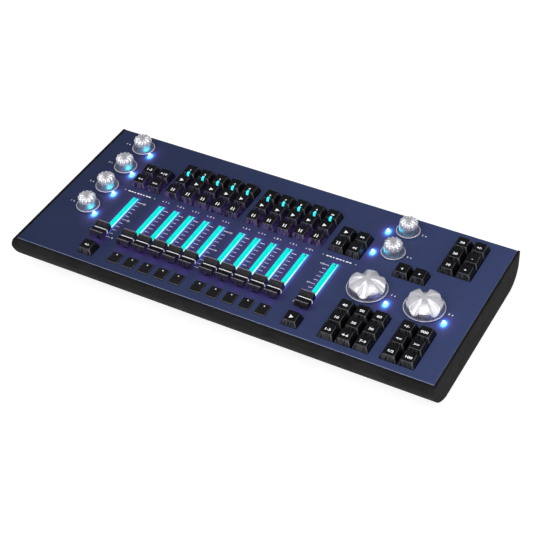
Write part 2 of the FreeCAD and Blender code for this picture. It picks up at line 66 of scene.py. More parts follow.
# ---- materials ----
class Shader:
    """A Principled material, given fixed values by name, with short calls for the nodes that lead it."""

    def __init__(self, name, **values):
        self.material = bpy.data.materials.new(name)
        self.material.use_nodes = True
        self.nodes = self.material.node_tree.nodes
        self.links = self.material.node_tree.links
        self.bsdf = self.nodes["Principled BSDF"]
        for key, value in values.items():
            self.bsdf.inputs[key.replace("_", " ")].default_value = value
        self.coords = self.nodes.new("ShaderNodeTexCoord").outputs["Object"]

    def to(self, source, name):
        self.links.new(source, self.bsdf.inputs[name])

    def noise(self, scale, detail=3.0, roughness=0.5, stretch=None):
        node = self.nodes.new("ShaderNodeTexNoise")
        node.inputs["Scale"].default_value = scale
        node.inputs["Detail"].default_value = detail
        node.inputs["Roughness"].default_value = roughness
        source = self.coords
        if stretch:
            mapping = self.nodes.new("ShaderNodeMapping")
            mapping.inputs["Scale"].default_value = stretch
            self.links.new(source, mapping.inputs["Vector"])
            source = mapping.outputs["Vector"]
        self.links.new(source, node.inputs["Vector"])
        return node.outputs["Fac"]

    def voronoi(self, scale):
        node = self.nodes.new("ShaderNodeTexVoronoi")
        node.inputs["Scale"].default_value = scale
        self.links.new(self.coords, node.inputs["Vector"])
        return node.outputs["Distance"]

    def ramp(self, source, low, high, from_low=0.3, from_high=0.7):
        """A number mapped between two ranges. The first is by default what noise mostly gives."""
        node = self.nodes.new("ShaderNodeMapRange")
        limits = {"From Min": from_low, "From Max": from_high, "To Min": low, "To Max": high}
        for name, value in limits.items():
            node.inputs[name].default_value = value
        self.links.new(source, node.inputs["Value"])
        return node.outputs["Result"]

    def colours(self, source, low, high, from_low=0.3, from_high=0.7):
        """A mix of two colours, which may come from other nodes, led by a number."""
        node = self.nodes.new("ShaderNodeMix")
        node.data_type = "RGBA"
        self.links.new(self.ramp(source, 0.0, 1.0, from_low, from_high), node.inputs["Factor"])
        for socket, value in zip((node.inputs[i] for i in MIX_COLOURS), (low, high)):
            if isinstance(value, bpy.types.NodeSocket):
                self.links.new(value, socket)
            else:
                socket.default_value = (*value, 1.0)
        return node.outputs[MIX_RESULT]

    def math(self, operation, a, b=0.0):
        node = self.nodes.new("ShaderNodeMath")
        node.operation = operation
        for socket, value in zip(node.inputs, (a, b)):
            if isinstance(value, bpy.types.NodeSocket):
                self.links.new(value, socket)
            else:
                socket.default_value = value
        return node.outputs[0]

    def times(self, a, b):
        return self.math("MULTIPLY", a, b)

    def minus(self, a, b):
        return self.math("SUBTRACT", a, b)

    def plus(self, a, b):
        return self.math("ADD", a, b)

    def axis(self, name):
        node = self.nodes.new("ShaderNodeSeparateXYZ")
        self.links.new(self.coords, node.inputs[0])
        return node.outputs[name]

    def normal(self, name):
        node = self.nodes.new("ShaderNodeSeparateXYZ")
        self.links.new(self.nodes.new("ShaderNodeNewGeometry").outputs["Normal"], node.inputs[0])
        return node.outputs[name]

    def distance(self, point, scale):
        """How far away a point is, with the three directions counted by different measures."""
        offset = self.nodes.new("ShaderNodeVectorMath")
        offset.operation = "SUBTRACT"
        offset.inputs[1].default_value = point
        self.links.new(self.coords, offset.inputs[0])
        scaled = self.nodes.new("ShaderNodeVectorMath")
        scaled.operation = "MULTIPLY"
        scaled.inputs[1].default_value = scale
        self.links.new(offset.outputs["Vector"], scaled.inputs[0])
        length = self.nodes.new("ShaderNodeVectorMath")
        length.operation = "LENGTH"
        self.links.new(scaled.outputs["Vector"], length.inputs[0])
        return length.outputs["Value"]

    def bump(self, height, strength, distance):
        node = self.nodes.new("ShaderNodeBump")
        node.inputs["Strength"].default_value = strength
        node.inputs["Distance"].default_value = distance
        self.links.new(height, node.inputs["Height"])
        self.links.new(node.outputs["Normal"], self.bsdf.inputs["Normal"])


def moulded(name, colour, lighter, roughness, grain=2600.0, bump=0.25, shine=0.5):
    """Moulded plastic: a fine spark texture, faint colour drift and uneven gloss."""
    s = Shader(name, Specular_IOR_Level=shine)
    s.to(s.colours(s.noise(60, 4), colour, lighter), "Base Color")
    s.to(s.ramp(s.noise(420, 3), roughness - 0.05, roughness + 0.08), "Roughness")
    s.bump(s.noise(grain, 2), bump, 0.00004)
    return s.material


case_black = moulded("case_black", (0.0125, 0.012, 0.0125), (0.020, 0.019, 0.019),
                     roughness=0.70, grain=1800.0, bump=0.5, shine=0.03)
flash_black = moulded("flash_black", (0.006, 0.006, 0.007), (0.010, 0.010, 0.011),
                      roughness=0.30, grain=2800.0, shine=0.45)
switch_black = moulded("switch_black", (0.01, 0.01, 0.01), (0.016, 0.016, 0.016), roughness=0.45)
foot_rubber = moulded("foot_rubber", (0.012, 0.012, 0.012), (0.022, 0.022, 0.022),
                      roughness=0.75, grain=900.0, bump=0.6)
inlet_black = moulded("inlet_black", (0.01, 0.01, 0.01), (0.02, 0.02, 0.02), roughness=0.3)


def printed(name, thin, full):
    """Silk-screen ink, a little thin and uneven, with a faint painted glow so that it reads brighter."""
    s = Shader(name, Emission_Strength=0.20)
    s.to(s.colours(s.noise(900, 4), thin, full), "Base Color")
    # painted glow: the ink gives off its own colour as faint light, though it is no lamp
    s.to(s.colours(s.noise(900, 4), thin, full), "Emission Color")
    s.to(s.ramp(s.noise(1500), 0.4, 0.6), "Roughness")
    s.bump(s.noise(3000), 0.2, 0.00002)
    return s.material


def lit(name, colour, bright, strength, grain):
    """A lit translucent moulding, brighter in soft patches along it."""
    s = Shader(name, Roughness=0.25, Emission_Strength=strength)
    s.to(s.colours(s.noise(grain, 2), colour, bright), "Emission Color")
    s.to(s.colours(s.noise(grain, 2), colour, bright), "Base Color")
    s.bump(s.noise(grain * 8, 2), 0.2, 0.00005)
    return s.material


def metal(name, colour, lighter, roughness):
    """Plated or brushed metal with fine lines along it."""
    s = Shader(name, Metallic=1.0)
    stretch = (1.0, 14.0, 1.0)
    s.to(s.colours(s.noise(300, 5, 0.6, stretch), colour, lighter), "Base Color")
    s.to(s.ramp(s.noise(500, 5, 0.6, stretch), roughness - 0.08, roughness + 0.1), "Roughness")
    s.bump(s.noise(900, 4, 0.6, stretch), 0.2, 0.00003)
    return s.material


def silver_dome(name, metallic, roughness):
    """Silvered, frosted plastic: pearly rather than mirror-like."""
    s = Shader(name, Metallic=metallic, Coat_Weight=0.3, Coat_Roughness=0.2)
    s.to(s.colours(s.noise(70, 3), (0.80, 0.79, 0.84), (0.90, 0.89, 0.94)), "Base Color")
    s.to(s.ramp(s.noise(300, 3), roughness - 0.06, roughness + 0.06), "Roughness")
    s.bump(s.noise(1400, 2), 0.06, 0.00002)
    return s.material


def glossy_black(name, grain, near_v, reach, strength, shine, rough, front_sheen):
    """Glossy black moulding, its streaked fronts painted paler as a sheen, and the faders' violet light
    painted onto upright faces nearby.
    """
    violet = (0.30, 0.14, 0.85, 1.0)
    s = Shader(name, Specular_IOR_Level=shine, Emission_Color=violet)
    sideways, facing_front = -0.35, -0.75
    downward_streaks = (1.0, 0.25, 0.25)
    glow_above, glow_height = 2.0 * MM, 9.0 * MM
    lit_until, dark_from = place(300, 0, 0).x, place(318, 0, 0).x
    # painted sheen: faces turned towards the front are given a paler colour, as where light falls on them
    front = s.ramp(s.normal("Y"), 0.0, 1.0, sideways, facing_front)
    streaks = s.ramp(s.noise(520, 2, 0.5, downward_streaks), 0.0, 1.0, 0.40, 0.62)
    dark = s.colours(s.noise(60, 4), (0.004, 0.004, 0.005), (0.008, 0.008, 0.009))
    pale = s.times(front, streaks)
    s.to(s.colours(pale, dark, front_sheen, 0.0, 1.0), "Base Color")
    s.to(s.ramp(s.noise(420, 3), rough - 0.04, rough + 0.10), "Roughness")
    s.bump(s.noise(grain, 2), 0.2, 0.00004)
    # painted light: a violet glow on upright faces near the faders and low on the piece stands in for the
    # light the faders' guides cast
    upright = s.minus(1.0, s.math("ABSOLUTE", s.normal("Z")))
    level = s.minus(s.axis("Z"), panel_high.z + glow_above)
    near = s.times(glow(s, s.minus(s.axis("Y"), place(0, near_v, 0).y), reach * MM),
                  glow(s, level, glow_height))
    near = s.times(near, s.ramp(s.axis("X"), 1.0, 0.0, lit_until, dark_from))
    amount = s.times(s.times(upright, near), s.ramp(streaks, 0.15, 1.0, 0.0, 1.0))
    s.to(s.times(amount, strength), "Emission Strength")
    return s.material


def worn_edge(name, colour, lighter):
    """The rounded edges of a black moulding, painted lighter as a highlight where the gloss catches the
    light.
    """
    s = Shader(name)
    s.to(s.colours(s.noise(300, 3), colour, lighter), "Base Color")
    s.to(s.ramp(s.noise(600, 3), 0.25, 0.40), "Roughness")
    s.bump(s.noise(2600, 2), 0.2, 0.00003)
    return s.material


# painted highlights: lighter colours for the rounded edges of keys, flash buttons and fader caps
key_edge_glint = worn_edge("key_edge_glint", (0.03, 0.03, 0.035), (0.09, 0.09, 0.10))
fader_edge_glint = worn_edge("fader_edge_glint", (0.14, 0.12, 0.16), (0.30, 0.27, 0.33))
white_ink = printed("print_white", (0.80, 0.80, 0.84), (0.96, 0.96, 1.0))
grey_ink = printed("print_grey", (0.60, 0.56, 0.72), (0.78, 0.74, 0.88))
key_window = lit("key_window", (0.0, 0.55, 0.65), (0.05, 0.85, 0.90), strength=1.2, grain=500)
knob_glow = lit("knob_glow", (0.0, 0.30, 0.60), (0.10, 0.60, 0.75), strength=0.12, grain=300)
knob_silver = silver_dome("knob_silver", metallic=0.60, roughness=0.30)
knob_pearl = silver_dome("knob_pearl", metallic=0.42, roughness=0.36)
screw_steel = metal("screw_steel", (0.06, 0.06, 0.065), (0.10, 0.10, 0.11), roughness=0.35)
socket_metal = metal("socket_metal", (0.55, 0.55, 0.57), (0.70, 0.70, 0.72), roughness=0.25)
fader_metal = metal("fader_metal", (0.50, 0.50, 0.51), (0.62, 0.62, 0.64), roughness=0.35)
standoff_brass = metal("standoff_brass", (0.60, 0.44, 0.16), (0.74, 0.56, 0.24), roughness=0.3)


def board_green():
    """Solder mask over the copper pours of a circuit board."""
    s = Shader("board_green", Roughness=0.3)
    s.to(s.colours(s.voronoi(240), (0.01, 0.07, 0.03), (0.02, 0.13, 0.05), 0.2, 0.6), "Base Color")
    s.bump(s.voronoi(240), 0.2, 0.00005)
    return s.material


# How far the lamp beside each knob stands from the knob's centre, in u and v.
lamp_offsets = {"a": (14.4, -9.2), "b": (14.4, -9.2), "c": (14.4, -9.2), "d": (14.4, -9.2),
                "e": (-18.8, -10.0), "f": (-19.3, -8.8), "x": (26.4, -12.3), "y": (26.3, -12.0)}


def knob_centre(letter):
    low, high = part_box("encoder_knob_%s" % letter)
    return panel_uv((low + high) / 2)


def lamp_place(letter):
    u, v = knob_centre(letter)
    du, dv = lamp_offsets[letter]
    return u + du, v + dv


def glow(s, nearness, reach):
    """Light that falls off smoothly with distance, as a number from 1 down to 0."""
    scaled = s.math("DIVIDE", nearness, reach)
    return s.math("POWER", EULER, s.times(s.times(scaled, scaled), -1.0))


def sum_of(s, values):
    total = values[0]
    for value in values[1:]:
        total = s.plus(total, value)
    return total


def fader_centres():
    boxes = [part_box(name) for name in fader_names]
    return [panel_uv((low + high) / 2)[0] for low, high in boxes]


def fade_ends(s, along, half, sharpness):
    """One over a length of twice half, falling to nothing past its ends."""
    power = s.math("POWER", s.math("DIVIDE", s.math("ABSOLUTE", along), half), sharpness)
    return s.math("POWER", EULER, s.times(power, -1.0))


def panel_blue():
    """Satin dark blue powder coat over aluminium, painted lighter towards the right as a sheen, with its
    cut edge painted bright as a highlight and the lamps' spilt light painted on as a glow.
    """
    s = Shader("panel_blue", Metallic=0.2)
    lamp_measure = (1.15, 0.78, 1.0)
    lamp_height = 1.0
    core_reach, heart_reach, halo_reach = 4.2 * MM, 3.7 * MM, 9.5 * MM
    slot_middle, slot_reach, slot_half = 75.0, 7.5 * MM, 47.0 * MM
    rim_side, rim_reach, rim_shift, rim_half = 4.5, 1.5 * MM, 5.0 * MM, 34.0 * MM
    core_light, halo_light, slot_light, rim_light = 2.2, 0.14, 0.11, 0.34
    slot_end_sharpness, rim_end_sharpness = 6.0, 24.0
    cut_edge_foot, cut_edge_head = 0.5 * MM, 0.1 * MM
    violet_light, blue_light, cyan_light = (0.36, 0.08, 1.0), (0.0, 0.24, 1.0), (0.30, 0.92, 1.0)
    base = s.colours(s.noise(14, 4), (0.022, 0.032, 0.093), (0.029, 0.041, 0.112))
    # painted sheen: the base colour grows lighter towards the panel's right, as the light falls there
    across = s.ramp(s.axis("X"), 0.0, 1.0, panel_low.x, panel_high.x)
    base = s.colours(across, base, (0.062, 0.090, 0.240), 0.0, 1.6)
    # painted highlight: the cut edge at the panel's top is painted lighter, as where it catches the light
    height = s.ramp(s.axis("Z"), 1.0, 0.0, panel_high.z - cut_edge_foot, panel_high.z - cut_edge_head)
    edge = s.colours(height, base, (0.30, 0.36, 0.55), 0.3, 0.6)
    s.to(edge, "Base Color")
    s.to(s.ramp(s.noise(600, 3), 0.34, 0.48), "Roughness")
    s.bump(s.noise(2400, 3), 0.35, 0.00005)
    # painted light: glows round the lamps and beside the faders' light guides, given as emission on the
    # panel
    lamps = [s.distance(place(*lamp_place(letter), lamp_height), lamp_measure) for letter in lamp_offsets]
    core = sum_of(s, [glow(s, near, core_reach) for near in lamps])
    heart = sum_of(s, [glow(s, near, heart_reach) for near in lamps])
    halo = sum_of(s, [glow(s, near, halo_reach) for near in lamps])
    slots = sum_of(s, [glow(s, s.minus(s.axis("X"), place(u, 0, 0).x), slot_reach)
                       for u in fader_centres()])
    rims = sum_of(s, [glow(s, s.minus(s.axis("X"), place(u + rim_side, 0, 0).x), rim_reach)
                      for u in fader_centres()])
    along = s.minus(s.axis("Y"), place(0, slot_middle, 0).y)
    spill = s.times(slots, fade_ends(s, along, slot_half, slot_end_sharpness))
    behind = s.minus(along, rim_shift)
    edges = s.times(rims, fade_ends(s, behind, rim_half, rim_end_sharpness))
    violet = s.plus(s.times(halo, halo_light), s.times(spill, slot_light))
    blue = s.plus(s.times(core, core_light), s.times(edges, rim_light))
    strength = s.plus(violet, blue)
    share = s.math("DIVIDE", blue, s.plus(strength, NO_DIVIDE_BY_ZERO))
    shade = s.colours(share, violet_light, blue_light, 0.0, 1.0)
    s.to(s.colours(heart, shade, cyan_light, 0.15, 0.75), "Emission Color")
    s.to(strength, "Emission Strength")
    return s.material


def indicator_blue():
    """A lit lens: saturated blue at its foot, nearly white at its tip."""
    s = Shader("indicator_blue", Roughness=0.2, Base_Color=(0.02, 0.10, 0.25, 1.0))
    tip = 2.6 * MM
    up = s.ramp(s.axis("Z"), 0.0, 1.0, panel_high.z, panel_high.z + tip)
    s.to(s.colours(up, (0.0, 0.26, 1.0), (0.42, 0.90, 1.0), 0.1, 0.9), "Emission Color")
    s.to(s.ramp(s.noise(500, 2), 2.4, 3.2), "Emission Strength")
    s.bump(s.noise(3000, 2), 0.1, 0.00003)
    return s.material


def clear_skirt():
    """Thin clear acrylic: mostly the panel seen through it, with a faint pale film and gloss."""
    s = Shader("knob_skirt", Alpha=0.14)
    s.to(s.colours(s.noise(40), (0.50, 0.48, 0.66), (0.66, 0.64, 0.84)), "Base Color")
    s.to(s.ramp(s.noise(500), 0.03, 0.10), "Roughness")
    s.bump(s.noise(160, 2), 0.1, 0.0002)
    return s.material


def knob_clear():
    """Clear acrylic, faintly milky, with the lamp's light caught in the wall that faces it."""
    s = Shader("knob_clear", IOR=1.49, Alpha=0.42)
    small_wall, large_wall, middle_height = 7.4, 17.8, 6.4
    small_halo, large_halo, core_reach = 5.6 * MM, 8.0 * MM, 3.1 * MM
    tall = (1.0, 1.0, 0.55)
    core_light, halo_light = 3.4, 0.34
    s.to(s.colours(s.noise(90, 2), (0.16, 0.16, 0.22), (0.34, 0.34, 0.44)), "Base Color")
    s.to(s.ramp(s.noise(500), 0.05, 0.16), "Roughness")
    s.bump(s.noise(160, 2), 0.15, 0.0002)
    cores = []
    halos = []
    for letter in lamp_offsets:
        u, v = knob_centre(letter)
        away = Vector(lamp_offsets[letter]).normalized()
        small = letter in small_knobs
        reach = small_wall if small else large_wall
        facing = s.distance(place(u + away.x * reach, v + away.y * reach, middle_height), tall)
        halos.append(glow(s, facing, small_halo if small else large_halo))
        if small:
            cores.append(glow(s, facing, core_reach))
    core = s.times(sum_of(s, cores), core_light)
    halo = s.times(sum_of(s, halos), halo_light)
    strength = s.plus(core, halo)
    share = s.math("DIVIDE", core, s.plus(strength, NO_DIVIDE_BY_ZERO))
    s.to(s.colours(share, (0.30, 0.30, 1.0), (0.05, 0.85, 1.0), 0.2, 0.9), "Emission Color")
    s.to(strength, "Emission Strength")
    return s.material


def knob_rim():
    """The rounded edge of a clear skirt, painted pale all round for the light it gathers."""
    s = Shader("knob_rim", IOR=1.49, Transmission_Weight=0.2)
    s.to(s.colours(s.noise(120), (0.66, 0.65, 0.78), (0.84, 0.83, 0.94)), "Base Color")
    s.to(s.ramp(s.noise(500), 0.10, 0.24), "Roughness")
    s.bump(s.noise(400, 2), 0.1, 0.0001)
    return s.material


# ---- mesh helpers ----
class Build:
    """Vertices and faces gathered from several forms into one mesh."""

    def __init__(self):
        self.verts = []
        self.faces = []
        self.indices = []

    def add(self, verts, faces, index=0):
        start = len(self.verts)
        self.verts += verts
        self.faces += [tuple(start + i for i in face) for face in faces]
        self.indices += [index] * len(faces)

    def rings(self, rings, index=0, capped=True):
        """A skin through rings of equally many points, with its two ends closed by fans if capped."""
        count = len(rings[0])
        verts = [p for ring in rings for p in ring]
        faces = []
        for k in range(len(rings) - 1):
            for i in range(count):
                j = (i + 1) % count
                faces.append((k * count + i, k * count + j, (k + 1) * count + j, (k + 1) * count + i))
        for ring_index, flip in ((0, True), (len(rings) - 1, False)) if capped else ():
            verts.append(sum(rings[ring_index], Vector()) / count)
            base = ring_index * count
            for i in range(count):
                fan = (base + i, base + (i + 1) % count, len(verts) - 1)
                faces.append(tuple(reversed(fan)) if flip else fan)
        self.add(verts, faces, index)

    def recolour(self, rings, index, levels=None, columns=None):
        """Give the last capped skin added another material, on some of its levels or columns."""
        count = len(rings[0])
        start = len(self.faces) - (len(rings) - 1) * count - 2 * count
        for k in range(len(rings) - 1):
            for i in range(count):
                if (levels is None or k in levels) and (columns is None or i in columns):
                    self.indices[start + k * count + i] = index

    def box(self, low, high, index):
        (x0, y0, z0), (x1, y1, z1) = low, high
        verts = [Vector(p) for p in ((x0, y0, z0), (x1, y0, z0), (x1, y1, z0), (x0, y1, z0),
                                     (x0, y0, z1), (x1, y0, z1), (x1, y1, z1), (x0, y1, z1))]
        faces = [(3, 2, 1, 0), (4, 5, 6, 7), (0, 1, 5, 4), (1, 2, 6, 5), (2, 3, 7, 6), (3, 0, 4, 7)]
        self.add(verts, faces, index)

    def piece(self, name, materials, body, slot, smooth=True):
        """Make the mesh with its materials and let it ride its body. The slot argument is not used."""
        mesh = bpy.data.meshes.new(name)
        mesh.from_pydata([tuple(v) for v in self.verts], [], self.faces)
        for material in materials:
            mesh.materials.append(material)
        mesh.polygons.foreach_set("material_index", self.indices)
        mesh.polygons.foreach_set("use_smooth", [smooth] * len(mesh.polygons))
        mesh.update()
        piece = bpy.data.objects.new(name, mesh)
        bpy.context.scene.collection.objects.link(piece)
        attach(piece, body)
        return piece


corner_steps = 5
# Columns between the points of a rounded outline, which starts at its front right corner. The keys' front
# and right edges and front right corner are painted lighter as a highlight.
front_and_right = (0, 1, 2, 3, 4, 5, 23)
front_right_corner = (1, 2, 3)


def rounded_outline(x0, x1, y0, y1, radius):
    """Points round a rectangle with round corners, anticlockwise."""
    points = []
    corners = ((x1 - radius, y0 + radius, -90), (x1 - radius, y1 - radius, 0),
               (x0 + radius, y1 - radius, 90), (x0 + radius, y0 + radius, 180))
    for cx, cy, start in corners:
        for k in range(corner_steps + 1):
            angle = math.radians(start + 90 * k / corner_steps)
            points.append((cx + radius * math.cos(angle), cy + radius * math.sin(angle)))
    return points


# ---- keycaps ----
# Half the width at the base and the top, where the top starts and ends, heights, and corner roundings.
key_pitch = 19.05
base_half = 9.15
top_half = 6.5
top_front = -7.3
top_back = 6.0
front_height = 6.8
back_height = 8.2
skirt_bottom = -1.5
dish_depth = 0.55
edge_round = 0.55
foot_corner = 0.7
top_corner = 1.4
wall_levels = (0.0, 0.3, 0.6, 0.86)
round_steps = 5
legend_v = -1.6


def key_top(x, y):
    """The height of a keycap's dished, sloping top at (x, y) from its centre."""
    slope = front_height + (y - top_front) / (top_back - top_front) * (back_height - front_height)
    return slope - dish_depth * max(0.0, 1.0 - (x / top_half) ** 2)


def keycap_rings(u, v):
    """A keycap's skin from its foot up its sloping walls, round its edge and in over its dished top."""
    rings = []

    def ring(t, inset, drop, corner):
        half = base_half + (top_half - base_half) * t - inset
        front = -base_half + (top_front + base_half) * t + inset
        back = base_half + (top_back - base_half) * t - inset
        points = []
        for x, y in rounded_outline(-half, half, front, back, corner):
            w = skirt_bottom + (key_top(x, y) - skirt_bottom) * t - drop
            points.append(place(u + x, v + y, w))
        return points

    for t in wall_levels:
        rings.append(ring(t, 0, 0, foot_corner + foot_corner * t))
    for k in range(1, round_steps + 1):
        angle = math.radians(90 * k / round_steps)
        inset, drop = edge_round * (1 - math.cos(angle)), edge_round * (1 - math.sin(angle))
        rings.append(ring(1.0, inset, drop, top_corner))
    for inset, corner in ((1.2, 1.2), (2.4, 1.0), (3.8, 0.8), (5.2, 0.5)):
        rings.append(ring(1.0, inset, 0, corner))
    return rings


def surface_text(text, u, v, size, height_at, widen=1.0, bold=0.0, lift=0.05):
    """A printed mark: flat glyph faces laid on a surface whose height at (x, y) is height_at(x, y)."""
    curve = bpy.data.curves.new("mark", "FONT")
    curve.body = text
    curve.size = size
    curve.align_x = "CENTER"
    curve.align_y = "CENTER"
    curve.resolution_u = 3
    curve.offset = bold
    holder = bpy.data.objects.new("mark", curve)
    mesh = bpy.data.meshes.new_from_object(holder)
    bpy.data.objects.remove(holder)
    bpy.data.curves.remove(curve)
    verts = [(vert.co.x * widen, vert.co.y) for vert in mesh.vertices]
    faces = [tuple(p.vertices) for p in mesh.polygons]
    bpy.data.meshes.remove(mesh)
    placed = [place(u + x, v + y, height_at(x, y) + lift) for x, y in verts]
    return placed, faces


def flat_mark(outlines, u, v, height_at, lift=0.05):
    """Filled shapes given by their corner points, laid on a surface like surface_text."""
    verts = []
    faces = []
    for outline in outlines:
        faces.append(tuple(range(len(verts), len(verts) + len(outline))))
        verts += [place(u + x, v + y, height_at(x, y) + lift) for x, y in outline]
    return verts, faces


def bar(x0, x1, y0, y1):
    return [(x0, y0), (x1, y0), (x1, y1), (x0, y1)]


play_mark = [[(-1.8, -2.2), (2.4, 0.0), (-1.8, 2.2)]]
pause_mark = [bar(-1.85, -0.75, -2.1, 2.1), bar(0.75, 1.85, -2.1, 2.1)]
back_mark = [[(-0.1, 0.0), (2.2, -1.5), (2.2, 1.5)], [(-2.6, 0.0), (-0.3, -1.5), (-0.3, 1.5)]]
forward_mark = [[(0.1, 0.0), (-2.2, 1.5), (-2.2, -1.5)], [(2.6, 0.0), (0.3, 1.5), (0.3, -1.5)]]
left_mark = [[(-1.5, 0.0), (0.7, -1.4), (0.7, 1.4)]]
right_mark = [[(1.5, 0.0), (-0.7, 1.4), (-0.7, -1.4)]]

# Each node's legends, by row from the front and column from the left.
key_marks = {
    "keys_master_block": [["<<", ">>"], ["1-5", "+10"]],
    "keys_crossfade_block": [[pause_mark, back_mark], [play_mark, forward_mark]],
    "keys_head_block": [[left_mark, right_mark]],
    "keys_upper_right_block": [["10", "+"], ["20", "-"], ["30", "+/-"]],
    "keys_number_block": [["1-3", "4-6", "7-9"], ["10", "20", "30"], ["40", "50", "60"]],
    "keys_far_right_block": [["1/2", "100"], ["<<", ">>"], ["+/-", "000"]],
    "key_below_master": [["+/-"]],
    "key_below_crossfade": [[play_mark]],
    "keys_bank_1_pause": [[pause_mark] * 5],
    "keys_bank_2_pause": [[pause_mark] * 5],
    "keys_bank_1_go": [[play_mark] * 5],
    "keys_bank_2_go": [[play_mark] * 5],
    "keys_bank_1_select": [["1", "2", "3", "4", "5"]],
    "keys_bank_2_select": [["6", "7", "8", "9", "10"]],
}


def key_places(name):
    """The centres of a node's keys, by row from the front and column from the left."""
    low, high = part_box(name)
    u0, v0 = panel_uv(low)
    rows = key_marks[name]
    return [[(u0 + base_half + i * key_pitch, v0 + base_half + j * key_pitch) for i in range(len(row))]
            for j, row in enumerate(rows)]


def key_light(build, u, v):
    """A lit strip with round ends that runs over a keycap's front edge and down its front face."""
    out, deep = 0.3, 0.4
    over_top = ((-4.2, 0.0, 1.0, 0.6), (-4.6, 0.0, 1.0, 1.1), (-5.6, 0.0, 1.0, 1.35),
                (-6.6, 0.0, 1.0, 1.35), (-7.0, -0.35, 0.94, 1.35))
    points = [(y, key_top(0, y), out_y, out_w, half) for y, out_y, out_w, half in over_top]
    points += [(-7.32, 5.9, -0.8, 0.6, 1.35), (-7.6, 5.1, -0.97, 0.24, 1.35),
               (-8.0, 3.6, -0.97, 0.24, 1.35), (-8.34, 2.1, -0.97, 0.24, 1.1),
               (-8.47, 1.6, -0.97, 0.24, 0.6)]
    rings = []
    for y, w, out_y, out_w, half in points:
        outer = (v + y + out * out_y, w + out * out_w)
        inner = (v + y - deep * out_y, w - deep * out_w)
        rings.append([place(u - half, *outer), place(u + half, *outer),
                      place(u + half, *inner), place(u - half, *inner)])
    build.rings(rings)


def legend_height(x, y):
    return key_top(x, y + legend_v)


def keys():
    """Dished keycaps with painted highlights on their front and right edges, printed legends and, on the
    select rows, a lit strip.
    """
    wall, upper_edge = range(0, 5), range(5, 8)
    for name, rows in key_marks.items():
        caps = Build()
        marks = Build()
        windows = Build()
        for row, places in zip(rows, key_places(name)):
            for mark, (u, v) in zip(row, places):
                rings = keycap_rings(u, v)
                caps.rings(rings)
                # painted highlight on the rounded front and right edges and down the front right corner
                caps.recolour(rings, 1, levels=upper_edge, columns=front_and_right)
                caps.recolour(rings, 1, levels=wall, columns=front_right_corner)
                if name.endswith("select"):
                    key_light(windows, u, v)
                    legend = surface_text(mark, u, v + legend_v, 3.0, legend_height, 1.2, 0.14)
                elif isinstance(mark, str):
                    legend = surface_text(mark, u, v + legend_v, 3.9, legend_height, 1.35, 0.12)
                else:
                    legend = flat_mark(mark, u, v + legend_v, legend_height)
                marks.add(*legend)
        body = name + "_body"
        piece = caps.piece(name + "_caps", [keycap_black, key_edge_glint], body, "keycap_black")
        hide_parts(name)
        marks.piece(name + "_marks", [white_ink], body, "keycap_black", smooth=False)
        if windows.verts:
            windows.piece(name + "_windows", [key_window], body, "keycap_black")


# ---- flash buttons and fader caps ----
# A flash button's skin: how far in from its outline, how high, and the radius of its corners.
flash_levels = ((0, -4.0, 0.9), (0, 0.2, 0.9), (0.08, 0.6, 0.9), (0.3, 0.9, 0.9), (0.7, 1.02, 0.9),
                (1.6, 0.92, 0.8), (3.0, 0.80, 0.6), (5.0, 0.75, 0.5))


def flash_buttons():
    """Low caps with rounded rims painted lighter as a highlight, a shallow crown and one white dot each."""
    rim = (2, 3)
    dot_radius, dot_u, dot_v, dot_height = 0.75, -0.2, 4.6, 0.92
    circle = [(dot_radius * math.cos(a * math.pi / 8), dot_radius * math.sin(a * math.pi / 8))
              for a in range(16)]
    for name in flash_names:
        low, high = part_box(name)
        u0, v0 = panel_uv(low)
        u1, v1 = panel_uv(high)
        u, v = (u0 + u1) / 2, (v0 + v1) / 2
        half_u, half_v = (u1 - u0) / 2, (v1 - v0) / 2
        cap = Build()
        rings = []
        for inset, w, corner in flash_levels:
            x, y = half_u - inset, half_v - inset
            outline = rounded_outline(-x, x, -y, y, corner)
            rings.append([place(u + x, v + y, w) for x, y in outline])
        cap.rings(rings)
        # painted highlight: the rounded rim gets the lighter edge colour
        cap.recolour(rings, 1, levels=rim)
        piece = cap.piece(name + "_cap", [flash_black, key_edge_glint], name + "_body", "flash_black")
        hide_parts(name)
        dot = Build()
        dot.add(*flat_mark([circle], u + dot_u, v + dot_v, lambda x, y: dot_height, 0.04))
        dot.piece(name + "_dot", [white_ink], name + "_body", "flash_black", smooth=False)


cap_front = 10.4
cap_foot = 4.8
# A fader cap's edges: how far its side view shrinks, and how far in from the cheek that happens.
cap_rounding = ((1.1, 0.0), (0.45, 0.12), (0.15, 0.35), (0.0, 0.75))


def waist(dy):
    """The height of a fader cap's dished waist between its two blocks, a parabola through three points."""
    points = ((-7.8, 12.3), (0.0, 9.9), (5.9, 13.9))
    (x0, y0), (x1, y1), (x2, y2) = points
    return (y0 * (dy - x1) * (dy - x2) / ((x0 - x1) * (x0 - x2))
            + y1 * (dy - x0) * (dy - x2) / ((x1 - x0) * (x1 - x2))
            + y2 * (dy - x0) * (dy - x1) / ((x2 - x0) * (x2 - x1)))


def cap_half(w):
    """Half the width of a fader cap, which tapers a little towards its top."""
    return 8.2 - 0.6 * (w - 1.4) / 12.5


# A fader cap seen from its side: the front block, the waist and the back block.
cap_outline = [(-9.9, 4.8), (-10.3, 5.3), (-10.25, 7.2), (-10.0, 9.6), (-9.6, 11.3), (-9.0, 12.1),
               (-8.4, 12.35), (-7.7, 12.25)]
cap_outline += [(dy, waist(dy)) for dy in (-6.6, -5.0, -3.2, -1.6, 0.0, 1.6, 3.2, 4.6)]
cap_outline += [(5.4, 13.35), (5.9, 13.8), (6.5, 13.9), (7.2, 13.85), (7.6, 13.5), (8.2, 10.0),
                (8.9, 5.3), (8.5, 4.8)]


